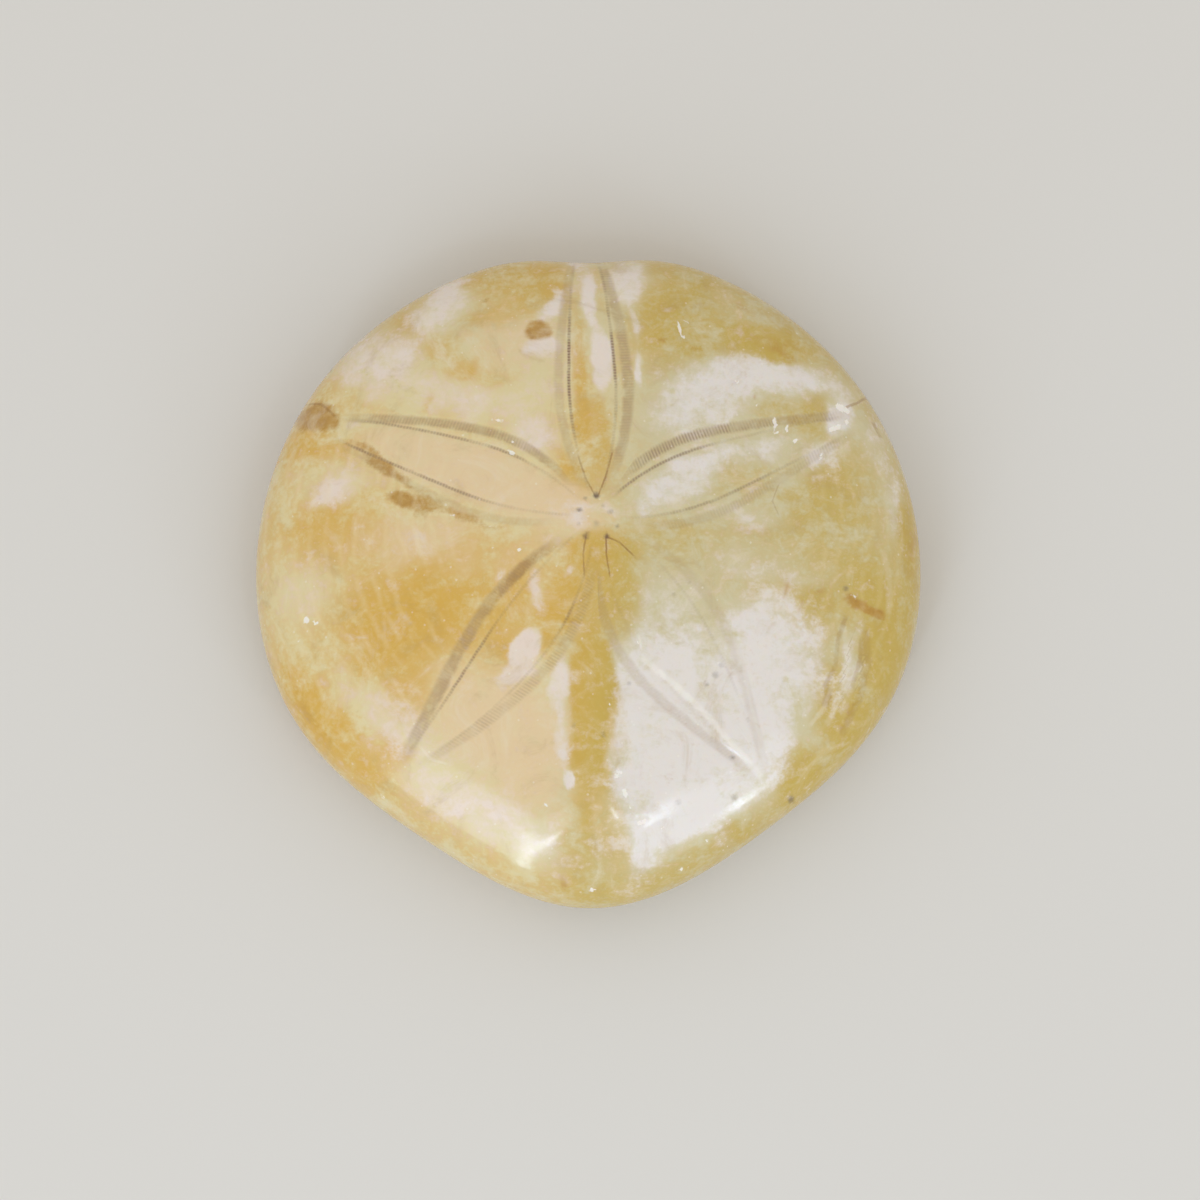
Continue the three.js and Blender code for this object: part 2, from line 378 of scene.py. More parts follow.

# Pale seams, where the plates' edges show as milky lines, and one painted highlight: points,
# half width and strength.
SEAMS_AND_HIGHLIGHT = (
    # A painted highlight: a white line where the edge of the hind right petal's groove catches the light.
    (((6.1, -19.0), (7.6, -20.3), (10.2, -22.3), (12.8, -24.6), (15.0, -26.8), (17.2, -29.3),
      (19.6, -31.8), (21.6, -34.0)), 0.36, 0.7),
    (((28.6, -27.2), (30.2, -25.2), (31.2, -22.6)), 0.25, 0.25),
    (((33.0, -14.6), (33.6, -18.4), (32.8, -22.6), (30.8, -27.0)), 0.35, 0.18),
    (((38.6, -4.0), (39.4, -8.0), (39.2, -12.0)), 0.35, 0.14),
    (((18.4, -17.0), (19.6, -20.4), (20.4, -24.6), (21.6, -29.0)), 0.2, 0.15),
    (((-23.2, -30.6), (-22.0, -32.0), (-20.2, -32.6)), 0.16, 0.3),
    (((5.7, -16.4), (5.9, -17.6)), 0.12, 0.6),
)

# Chips: small shallow breaks that the polishing left, and painted highlights in shallow dents, as
# place, half length, half width, turn, depth and how white the mark is.
CHIPS_AND_GLINTS = (
    (33.4, 15.9, 1.3, 0.6, -25, 0.16, 0.9),
    (32.2, 13.0, 1.1, 0.5, 30, 0.14, 0.9),
    (33.9, 14.0, 0.5, 0.4, 60, 0.12, 0.8),
    (11.25, 26.6, 0.25, 1.5, 10, 0.14, 0.85),
    (12.2, 27.7, 0.8, 0.25, -10, 0.12, 0.7),
    (11.8, 25.4, 0.35, 0.3, 0, 0.14, 1.0),
    (24.0, 13.3, 0.35, 1.0, 5, 0.14, 0.9),
    (25.6, 12.5, 0.25, 0.7, 0, 0.12, 0.9),
    (24.1, 11.9, 0.4, 0.3, 0, 0.12, 0.9),
    (26.7, 10.8, 0.45, 0.3, 30, 0.12, 0.8),
    (30.2, 8.9, 0.3, 0.9, -15, 0.12, 0.7),
    (21.7, 15.8, 0.3, 0.3, 0, 0.1, 0.7),
    (19.0, 19.0, 0.5, 0.35, 0, 0.08, 0.6),
    (-11.4, 8.8, 0.4, 0.4, 0, 0.14, 1.0),
    (-11.2, 10.2, 0.2, 0.6, 0, 0.1, 0.8),
    (-13.0, 13.3, 0.7, 0.35, 10, 0.08, 0.7),
    (-16.5, 13.3, 0.6, 0.3, 15, 0.08, 0.6),
    (-38.8, -13.3, 0.5, 0.5, 0, 0.12, 1.0),
    (-37.5, -13.7, 0.6, 0.3, -20, 0.1, 0.9),
    (-39.9, -15.9, 0.25, 0.25, 0, 0.08, 0.7),
    (-13.9, -1.4, 0.35, 0.2, -35, 0.08, 0.8),
    (-14.0, -4.3, 0.3, 0.3, 0, 0.08, 0.6),
    (-10.2, -4.5, 0.2, 0.3, 0, 0.08, 0.7),
    (10.7, -0.3, 0.25, 0.25, 0, 0.1, 0.9),
    (7.6, -5.1, 0.25, 0.2, 0, 0.08, 0.7),
    (5.5, -16.9, 0.15, 0.35, 0, 0.08, 0.8),
    (3.0, -12.2, 0.2, 0.2, 0, 0.08, 0.8),
    (1.7, -25.3, 0.15, 0.4, 0, 0.08, 0.8),
    (14.8, -42.5, 0.25, 0.25, 0, 0.1, 0.7),
    (17.6, -43.0, 0.2, 0.2, 0, 0.1, 0.6),
    (11.3, -46.2, 0.5, 0.3, 40, 0.12, 0.7),
    (34.4, -10.3, 0.7, 0.4, -40, 0.2, 0.5),
    # From here on, painted highlights: white marks in shallow dents where the polish catches the light,
    # along the keel's edges, at the beak, on the hind left shoulder and on the left.
    (2.9, -34.2, 0.8, 0.6, 60, 0.05, 0.7),
    (3.8, -36.7, 0.9, 0.4, 105, 0.05, 0.75),
    (4.6, -39.0, 0.9, 0.25, 105, 0.05, 0.7),
    (6.0, -40.4, 1.0, 0.35, 20, 0.05, 0.75),
    (8.7, -41.2, 0.6, 0.25, 50, 0.05, 0.6),
    (-6.6, -38.2, 0.45, 0.3, 120, 0.05, 0.8),
    (-28.6, -36.5, 0.6, 0.3, 130, 0.05, 0.6),
    (-0.6, -49.0, 0.5, 0.3, 10, 0.05, 0.8),
    (-19.3, 0.3, 0.9, 0.3, -10, 0.05, 0.5),
)

# What the mesh stores at its points for the material to read.
FIELDS = (
    "milk", "peach", "honey", "rust", "warm", "along", "from_line", "from_band", "line", "band",
    "stripes", "growth", "growth_shown", "crack", "crack_shown", "seam", "seam_and_highlight_shown", "dot",
    "dot_shown", "throat", "tubercles", "chip_and_glint",
)

# Cloudy patterns in the stone: how far apart their lumps are, detail, roughness and distortion.
# The real stone's veins lie 3 to 9 mm apart, its clouds are 3 to 7 mm across, its blotches 1 to
# 2 mm and its flecks 0.5 mm.
PATTERNS = {
    "veins": (9.0, 6.0, 0.68, 1.6),
    "broad": (6.0, 4.0, 0.6, 0.8),
    "blotch": (2.0, 4.0, 0.62, 0.5),
    "feather": (1.0, 3.0, 0.55, 0.0),
    "fleck": (0.6, 3.0, 0.6, 0.0),
    "grain": (0.3, 2.0, 0.55, 0.0),
}

# Stains creep along the crystals, so their edges feather out: which way, how wide the feathers
# are as a share of their length, and how strongly they show.
CRYSTAL_TURN = 38
FEATHER_WIDTH = 0.25
FEATHERING = 0.55

# How far the broad clouds, the blotches and the flecks mottle each kind of stain, and from where
# to where its edge rises. Umber is the core of the rust.
MOTTLING = {
    "honey": (1.7, 1.2, 0.7, -0.24, 0.86),
    "peach": (1.1, 0.7, 0.3, -0.01, 0.94),
    "milk": (1.4, 1.2, 0.7, 0.07, 1.02),
    "rust": (0.2, 0.8, 0.6, 0.08, 0.95),
    "umber": (0.6, 1.6, 0.8, 0.75, 1.25),
}

PORE_PITCH = 0.42  # real pore pairs repeat every 0.34 mm; this is the finest that shows
TUBERCLE_PITCH = 1.3
FLAW_PITCH = 2.0  # between the pale flecks, 0.2 mm across: any smaller doesn't show
PAPER_FIBRES = 0.8  # real fibres are finer than shows

# Soft lights: direction and height as seen from the stone in degrees, distance, width and height
# in metres, and power in watts.
LIGHTS = (
    ("left window", 233.5, 38, 1.0, 0.34, 0.84, 1.3),
    ("left pane", 245, 30, 0.9, 0.035, 0.7, 0.85),
    ("right window", 303, 36, 1.0, 0.46, 0.88, 1.5),
    ("right pane", 312, 28, 0.9, 0.025, 0.16, 0.19),
    ("high pane", 298, 60, 0.9, 0.06, 0.1, 0.16),
)


# ---------------- small mathematics
def ease(low, high, value):
    """From 0 at low to 1 at high, starting and ending gently."""
    share = np.clip((value - low) / (high - low), 0, 1)
    return share * share * (3 - 2 * share)


def clouds(x, y, size, seed):
    """Smooth noise in the plane, from -1 to 1, with lumps about size mm apart."""
    count = 64
    lattice = np.random.default_rng(seed).uniform(-1, 1, (count, count))
    u = x / size + 1000.0
    v = y / size + 1000.0
    column = np.floor(u).astype(int)
    row = np.floor(v).astype(int)
    fx = ease(0, 1, u - column)
    fy = ease(0, 1, v - row)
    at = [[lattice[(column + i) % count, (row + j) % count] for j in (0, 1)] for i in (0, 1)]
    near = at[0][0] * (1 - fx) + at[1][0] * fx
    far = at[0][1] * (1 - fx) + at[1][1] * fx
    return near * (1 - fy) + far * fy


def ellipse(x, y, place, half_length, half_width, turn):
    """Distance from a place, counted in its own half sizes: 1 on the ellipse."""
    across = math.radians(turn)
    dx = x - place[0]
    dy = y - place[1]
    along = (dx * math.cos(across) + dy * math.sin(across)) / half_length
    aside = (dy * math.cos(across) - dx * math.sin(across)) / half_width
    return np.hypot(along, aside)


def nearest(rows):
    """From rows that hold a distance and then other values, the row of the least distance at
    each point."""
    best, *others = rows
    for row in others:
        closer = row[0] < best[0]
        best = [np.where(closer, new, old) for new, old in zip(row, best)]
    return best


def from_line(x, y, points):
    """From a run of straight stretches: the distance, and of it how far to the left and how far
    beyond the ends."""
    stretches = []
    for (ax, ay), (bx, by) in zip(points, points[1:]):
        length = math.hypot(bx - ax, by - ay)
        along = ((x - ax) * (bx - ax) + (y - ay) * (by - ay)) / length
        left = ((y - ay) * (bx - ax) - (x - ax) * (by - ay)) / length
        beyond = np.maximum(0, np.maximum(-along, along - length))
        stretches.append((np.hypot(left, beyond), left, beyond))
    return nearest(stretches)


# ---------------- the stone's form
def outline_radius(angle, sizes):
    """Radius of the outline, in mm, in each direction from its own middle."""
    radius = np.full_like(angle, sizes.round_radius / MM)
    for _, at, spread, by in LOBES:
        turn = np.arctan2(np.sin(angle - math.radians(at)), np.cos(angle - math.radians(at)))
        radius = radius + by * np.exp(-0.5 * (turn / math.radians(spread)) ** 2)
    return radius


class Surface:
    """The stone's points ring by ring: the upper side, the rim, the foot and the basin below."""

    def __init__(self, sizes):
        self.sizes = sizes
        self.apex = np.array([sizes.apex_right, sizes.apex_forward]) / MM
        self.mouth = np.array([0.0, sizes.mouth_forward / MM])
        self.widest = sizes.widest_height / MM
        self.height = sizes.height / MM
        self.rings = []

    def ring(self, reach, under, height, sides):
        """Adds a ring: x, y and z, its reach, and 1 on the underside."""
        angle = np.arange(sides) / sides * 2 * math.pi
        radius = outline_radius(angle, self.sizes)
        middle = self.mouth if under else self.apex
        x = middle[0] * (1 - reach) + radius * np.cos(angle) * reach
        y = middle[1] * (1 - reach) + radius * np.sin(angle) * reach
        z = height(x, y) if callable(height) else np.full(sides, float(height))
        self.rings.append((x, y, z, np.full(sides, reach), np.full(sides, float(under))))

    def top_height(self, reach):
        sizes = self.sizes
        cone = 1 - reach ** sizes.cone_power
        dome = math.sqrt(max(0.0, 1 - reach ** sizes.dome_power))
        rise = sizes.cone_share * cone + (1 - sizes.cone_share) * dome
        return self.widest + (self.height - self.widest) * rise

    def basin_height(self, x, y, reach):
        """The basin's floor: food grooves and, round the mouth, a swelling between each two."""
        sizes = self.sizes
        edge = sizes.mouth_reach
        inward = np.clip((sizes.foot_inner - reach) / (sizes.foot_inner - edge), 0, 1)
        fall = 0.5 - 0.5 * math.cos(math.pi * inward)
        angle = np.arctan2(y - self.mouth[1], x - self.mouth[0]) - math.pi / 2
        star = np.cos(RAYS * angle)
        groove = (0.5 + 0.5 * star) * math.sin(math.pi * inward)
        lip = np.exp(-(((reach - edge * 1.7) / (edge * 0.55)) ** 2))
        # The mouth is a pit with five blunt points.
        pit = ease(edge * 1.2, edge * 0.5, reach + 0.012 * star)
        deep = sizes.basin_depth * fall + sizes.mouth_depth * pit
        return (deep + sizes.groove_depth * groove * fall) / MM + LIP_HEIGHT * lip * star

    def build(self):
        sizes = self.sizes
        fine = sizes.sides
        coarse = fine // 2
        for row in range(1, sizes.top_rows + 1):
            share = row / sizes.top_rows
            # The rings crowd together towards the rim, where the surface turns fastest.
            reach = math.sin(share * math.pi / 2) ** 0.93
            self.ring(reach, False, self.top_height(reach), fine)
        for row in range(1, sizes.rim_rows + 1):
            turn = row / sizes.rim_rows * math.pi / 2
            reach = sizes.foot_outer + (1 - sizes.foot_outer) * math.cos(turn)
            self.ring(reach, True, self.widest * (1 - math.sin(turn)), fine)
        for row in range(1, sizes.foot_rows + 1):
            share = row / sizes.foot_rows
            reach = sizes.foot_outer + (sizes.foot_inner - sizes.foot_outer) * share
            self.ring(reach, True, 0, coarse)
        for row in range(1, sizes.basin_rows):
            reach = sizes.foot_inner * (1 - row / sizes.basin_rows)
            self.ring(reach, True, lambda x, y: self.basin_height(x, y, reach), coarse)
        return self

    def points(self):
        """The columns of all the rings in a row, the apex first and the mouth's middle last."""
        depth = (self.sizes.basin_depth + self.sizes.mouth_depth) / MM
        first = (*self.apex, self.height, 0.0, 0.0)
        last = (*self.mouth, depth, 0.0, 1.0)
        columns = zip(first, zip(*self.rings), last)
        return [np.concatenate([[start], *rings, [end]]) for start, rings, end in columns]

    def faces(self):
        """Quads between like rings, and a row of triangles where the ring's count halves."""
        sides = [len(ring[0]) for ring in self.rings]
        starts = [1 + sum(sides[:k]) for k in range(len(sides) + 1)]
        found = [(0, 1 + i, 1 + (i + 1) % sides[0]) for i in range(sides[0])]
        for a, b, here, below in zip(starts, starts[1:], sides, sides[1:]):
            for i in range(below):
                j = (i + 1) % below
                if here == below:
                    found.append((a + i, b + i, b + j, a + j))
                    continue
                even, odd, after = a + 2 * i, a + 2 * i + 1, a + (2 * i + 2) % here
                found.append((even, b + i, odd))
                found.append((odd, b + i, b + j))
                found.append((odd, b + j, after))
        start, middle = starts[-2:]
        found += [(start + (i + 1) % sides[-1], start + i, middle) for i in range(sides[-1])]
        return found


def petal_width(along, length, peak, width, tip):
    """A petal's half width along its axis: a lens that stays open at its tip."""
    share = np.clip(along / length, 0.0, 1.0)
    lens = np.sin(math.pi * share ** (math.log(0.5) / math.log(peak)))
    return width * np.clip(lens, 0, 1) ** 1.2 + tip * ease(0.5, 1.0, share)


def petal_fields(dx, dy):
    """What the nearest petal shows at each point: mm along its axis, mm outwards from its line
    of pores, band widths outwards from the middle of its band, and the strengths of its line,
    band and stripes."""
    heading = np.arctan2(dy, dx)
    rows = []
    for _, at, length, bend, left, right in PETALS:
        angle = math.radians(at)
        along = dx * math.cos(angle) + dy * math.sin(angle)
        aside = dy * math.cos(angle) - dx * math.sin(angle)
        aside = aside + bend * (np.clip(along, 0, None) / BEND_AT) ** 3
        sides = []
        for peak, inner, outer, tip, wide, start, stop, line, *strengths in (left, right):
            line_at = petal_width(along, length, peak, inner, tip)
            band_at = petal_width(along, length, peak, outer, tip)
            dark = ease(start - 3, start + 3, along) * ease(stop + 3, stop - 3, along)
            line = line * (FAINT + (1 - FAINT) * dark)
            sides.append((line_at, band_at, wide, line, *strengths))
        on_left = ease(-0.3, 0.3, aside)
        mean = [a * on_left + b * (1 - on_left) for a, b in zip(*sides)]
        line_at, band_at, wide, *strengths = mean
        # The line begins nearer the apex than the band and its stripes do.
        tip_fades = 1 - ease(length - 6, length, along)
        begins = (ease(2.6, 5.0, along), ease(3.5, 9.5, along), ease(3.5, 9.5, along))
        shown = [strength * begin * tip_fades for strength, begin in zip(strengths, begins)]
        away = -np.cos(heading - angle)
        from_band = (np.abs(aside) - band_at) / wide
        rows.append((away, along, np.abs(aside) - line_at, from_band, *shown))
    names = ("along", "from_line", "from_band", "line", "band", "stripes")
    return dict(zip(names, nearest(rows)[1:]))


def keel_rise(dx, dy, reach, sizes):
    """A flat-topped keel from behind the apex back to the hind beak, wider towards the beak."""
    behind = np.clip(-dy, 0, None)
    narrow, wide = KEEL_HALF_WIDTHS
    side = (dx + KEEL_LEFT) / (narrow + (wide - narrow) * ease(*KEEL_WIDENS, behind))
    fade = ease(0, sizes.keel_fade / MM, behind) * (1 - ease(*KEEL_ENDS, behind)) * (1 - reach ** 6)
    return sizes.keel_height / MM * fade * np.exp(-(side ** 4))


def relief(dx, dy, reach, petal, sizes):
    """Everything on the upper side that is finer than its dome, in mm up."""
    line = np.exp(-(petal["from_line"] / LINE_HALF_WIDTH) ** 2) * ease(0, 0.5, petal["line"])
    band = np.exp(-(petal["from_band"] / BAND_HALF_WIDTH) ** 4) * ease(0, 0.6, petal["band"])
    rise = keel_rise(dx, dy, reach, sizes)
    rise = rise - sizes.line_depth / MM * line
    rise = rise - sizes.band_depth / MM * band
    rise = rise + WAVE_HEIGHT * clouds(dx, dy, WAVE_SPACING, seed=3) * (1 - reach ** 6)
    for px, py, radius, height in SWELLS:
        rise = rise + height * np.exp(-(np.hypot(dx - px, dy - py) / radius) ** 2)
    for _, px, py, radius, dark in PORES:
        rise = rise - PORE_DEPTH * dark * np.exp(-(np.hypot(dx - px, dy - py) / radius) ** 2)
    for px, py, length, width, turn, depth, _ in CHIPS_AND_GLINTS:
        inside = ellipse(dx, dy, (px, py), length + CHIP_LIP, width + CHIP_LIP, turn)
        rise = rise - depth * (1 - ease(0.4, 1.2, inside))
    return rise


# ---------------- the stone's colours
def stain_fields(dx, dy):
    """How strongly each kind of stain shows at each point of the upper side, from 0 to 1."""
    wx = 0.7 * clouds(dx, dy, 3.4, seed=11) + 0.35 * clouds(dx, dy, 1.3, seed=12)
    wy = 0.7 * clouds(dx, dy, 3.4, seed=13) + 0.35 * clouds(dx, dy, 1.3, seed=14)

    def amount(px, py, length, width, turn, soft, strength):
        wild = min(1.6, soft * 2) * min(1.0, width)
        inside = ellipse(dx + wx * wild, dy + wy * wild, (px, py), length, width, turn)
        return strength * np.exp(-0.69 * inside ** (1.8 / soft))

    fields = {kind: np.zeros_like(dx) for kind in SOFT_STAINS}
    for kind, stains in SOFT_STAINS.items():
        for stain in stains:
            fields[kind] = 1 - (1 - fields[kind]) * (1 - amount(*stain))
    for kind, *stain in CRISP_STAINS:
        covered = amount(*stain)
        fields = {name: values * (1 - covered) for name, values in fields.items()}
        fields[kind] = 1 - (1 - fields[kind]) * (1 - covered)
    return fields


def hidden_stains(x, y, reach):
    """The same for the underside, where the stains are broad clouds, rusty at the mouth."""
    rusty = 0.3 * ease(0.2, 0.9, clouds(x, y, 6.0, seed=25)) + 0.6 * ease(0.13, 0.07, reach)
    fields = {
        "milk": 0.3 + 0.5 * clouds(x, y, 9.0, seed=21) + 0.25 * clouds(x, y, 3.5, seed=22),
        "peach": 0.4 + 0.4 * clouds(x, y, 14.0, seed=26),
        "honey": 0.35 + 0.5 * clouds(x, y, 12.0, seed=23) + 0.3 * clouds(x, y, 4.0, seed=24),
        "rust": rusty,
    }
    return {kind: np.clip(values, 0, 1) for kind, values in fields.items()}


def growth_fields(dx, dy):
    """How many growth lines lie inwards of each point, and how strongly they show there."""
    outer = np.hypot(dx, dy) + 0.6 * clouds(dx, dy, 6.0, seed=31) + 0.3 * clouds(dx, dy, 2.0, seed=32)
    left = ease(-15, -22, dx) * ease(16, 10, dy) * ease(-29, -24, dy)
    right = 0.6 * ease(26, 31, dx) * ease(10, 4, dy)
    return outer / GROWTH_SPACING, np.maximum(left, right)


def marks(dx, dy, lines):
    """How far left of the nearest line each point is, in half widths, and how strong the line
    is there."""
    rows = []
    for points, half_width, strength in lines:
        away, left, beyond = from_line(dx, dy, points)
        rows.append((away, left / half_width, strength * (1 - ease(0.1, 0.6, beyond))))
    away, offset, strength = nearest(rows)
    return offset, strength * (1 - ease(1.5, 2.5, away))


def dots(dx, dy):
    """Distance in mm from the edge of the nearest pore or speck, and how dark that one is."""
    rows = []
    for px, py, radius, dark in [pore[1:] for pore in PORES] + list(SPECKS):
        rows.append((np.hypot(dx - px, dy - py) - radius, dark))
    return nearest(rows)


def chip_and_glint_marks(dx, dy):
    """How white the small breaks and the painted highlights are, from 0 to 1."""
    white = np.zeros_like(dx)
    for px, py, length, width, turn, _, strength in CHIPS_AND_GLINTS:
        inside = ellipse(dx, dy, (px, py), length, width, turn)
        white = np.maximum(white, strength * (1 - ease(0.6, 1.3, inside)))
    return white


def throat(x, y, reach, sizes):
    """How dark the mouth, the vent and the food grooves are on the underside, from 0 to 1."""
    mouth = ease(0.09, 0.04, reach)
    vent = 1 - ease(0.4, 1.0, ellipse(x, y, *VENT))
    angle = np.arctan2(y - sizes.mouth_forward / MM, x) - math.pi / 2
    groove = np.exp(-(((1 - np.cos(RAYS * angle)) / 0.12) ** 2)) * ease(0.5, 0.12, reach)
    return np.maximum(mouth, np.maximum(0.6 * vent, 0.35 * groove))


def store(mesh, name, values):
    """Keeps one value a point in the mesh, where the material can read it."""
    layer = mesh.attributes.new(name, "FLOAT", "POINT")
    layer.data.foreach_set("value", np.asarray(values, np.float32))


# ---------------- settings
def millimetres(name, description, size):
    return FloatProperty(name=name, description=description, default=size * MM, unit="LENGTH")


def factor(name, description, default):
    return FloatProperty(
        name=name, description=description, default=default, min=0, max=1, subtype="FACTOR")


def colour(name, description, code):
    return FloatVectorProperty(
        name=name, description=description, default=linear(code), size=3, min=0, max=1,
        subtype="COLOR")


class SandDollarSizes(bpy.types.PropertyGroup):
    """The stone's sizes, and how finely its mesh is made"""

    height: millimetres("Height", "From the resting plane to the apex", (CAD_HIGH.z - CAD_LOW.z) / MM)
    round_radius: millimetres("Round Radius", "Of the outline where nothing swells or flattens it", 45.35)
    widest_height: millimetres("Widest Height", "Of the widest line round the rim", 8.5)
    apex_right: millimetres("Apex Right", "How far the apex lies to the right of the middle", 1.1)
    apex_forward: millimetres("Apex Forward", "How far the apex lies in front of the middle", 6.7)
    mouth_forward: millimetres("Mouth Forward", "How far the mouth lies in front of the middle", 4.5)
    cone_share: factor("Cone Share", "How much of the upper side's rise is a cone", 0.42)
    cone_power: FloatProperty(
        name="Cone Power", description="How the cone rounds off at the apex", default=1.7)
    dome_power: FloatProperty(name="Dome Power", description="How flat the dome's top is", default=12)
    keel_height: millimetres("Keel Height", "Of the keel behind the apex", 0.7)
    keel_fade: millimetres("Keel Fade", "How far behind the apex the keel has its full height", 23)
    line_depth: millimetres("Line Depth", "Of the groove along a petal's inner line of pores", 0.09)
    band_depth: millimetres("Band Depth", "Of the hollow along a petal's outer band", 0.10)
    foot_outer: factor("Foot Outer", "Where the resting flat begins, as a share of the reach", 0.8)
    foot_inner: factor("Foot Inner", "Where the resting flat ends, as a share of the reach", 0.62)
    mouth_reach: factor("Mouth Reach", "The mouth's edge, as a share of the reach", 0.1)
    basin_depth: millimetres("Basin Depth", "Of the basin round the mouth", 2.8)
    mouth_depth: millimetres("Mouth Depth", "Of the mouth below the basin's floor", 2.0)
    groove_depth: millimetres("Groove Depth", "Of the five food grooves", 0.7)
    vent_depth: millimetres("Vent Depth", "Of the vent below the flat that the test rests on", 1.2)
    sides: IntProperty(name="Sides", description="Points round the upper side", default=600)
    top_rows: IntProperty(name="Top Rows", description="Rings of the upper side", default=112)
    rim_rows: IntProperty(name="Rim Rows", description="Rings round the rim", default=16)
    foot_rows: IntProperty(name="Foot Rows", description="Rings of the resting flat", default=20)
    basin_rows: IntProperty(name="Basin Rows", description="Rings of the basin", default=46)


class SandDollarColours(bpy.types.PropertyGroup):
    """The stone's colours and the floor's"""

    straw: colour("Straw", "Lightly stained calcite on the cooler right side", "D0C49C")
    cream: colour("Cream", "Lightly stained calcite on the warmer left side", "DFCE9C")
    peach: colour("Peach", "Lightly stained calcite inside the left petals", "E4C9A0")
    straw_honey: colour("Straw Honey", "Deeply stained calcite on the right side", "C5A84C")
    amber_honey: colour("Amber Honey", "Deeply stained calcite on the left side", "D6AA46")
    # The milk colours also paint a painted highlight on the keel and a painted reflection on the hind
    # left flank.
    cool_milk: colour("Cool Milk", "Milky calcite on the right side", "E6DED8")
    rose_milk: colour("Rose Milk", "Milky calcite on the left side", "E8D7C9")
    rust: colour("Rust", "Where the iron lies thickest", "B8892F")
    umber: colour("Umber", "The darkest cores of the rust", "96682A")
    shade: colour("Shade", "Cleaner calcite, which lets the depth show", "B3925A")
    light: colour("Light", "Cloudier calcite, just under the polish", "EADFCB")
    band: colour("Band", "The outer bands of the petals", "A88A62")
    line: colour("Line", "The inner pores of the petals", "7C5C46")
    pore: colour("Pore", "Mud in the pores of the apical disc", "5A4540")
    growth: colour("Growth", "The fine lines where the plates grew", "EBD9AC")
    # Also the colour of the painted highlights on the keel, the shoulder and the hind right petal's
    # groove.
    chip_and_glint: colour("Chip", "Crushed calcite in a small break", "F4EEE4")
    floor: colour("Floor", "The stage's floor", "DCD8D2")


class SandDollarStage(bpy.types.PropertyGroup):
    """Where the camera stands, and the colours of the light"""

    camera_rise: FloatProperty(
        name="Camera Rise", description="How high the camera stands above the horizon",
        default=math.radians(80), subtype="ANGLE")
    camera_distance: millimetres("Camera Distance", "From the camera to what it looks at", 420)
    view_width: millimetres("View Width", "How much the picture spans where the camera looks", 164.3)
    aim_right: millimetres("Aim Right", "How far right of the middle the camera looks", 1.6)
    aim_forward: millimetres("Aim Forward", "How far in front of the middle the camera looks", -2.8)
    light_colour: FloatVectorProperty(
        name="Light Colour", description="Of the soft lights: a cool window", size=3, min=0, max=1,
        default=(0.66, 0.81, 1.0), subtype="COLOR")
    room_colour: FloatVectorProperty(
        name="Room Colour", description="Of the even surroundings: warm walls", size=3, min=0, max=1,
        default=(1.0, 0.98, 0.935), subtype="COLOR")
    room_strength: FloatProperty(
        name="Room Strength", description="Of the light from the surroundings", default=0.775)


# ---------------- materials
def add(tree, kind, links=None, out=0, **settings):
    """Adds a node with its settings, sets or links the inputs named in links, and gives back
    one of its outputs."""
    made = tree.nodes.new("ShaderNode" + kind)
    for key, value in settings.items():
        setattr(made, key, value)
    for key, value in (links or {}).items():
        socket = made.inputs[key]
        if isinstance(value, bpy.types.NodeSocket):
            tree.links.new(value, socket)
        else:
            socket.default_value = value
    return made.outputs[out] if made.outputs else None


def blank_material(name):
    """A new material with no nodes yet, and its tree."""
    material = bpy.data.materials.new(name)
    material.use_nodes = True
    material.node_tree.nodes.clear()
    return material, material.node_tree


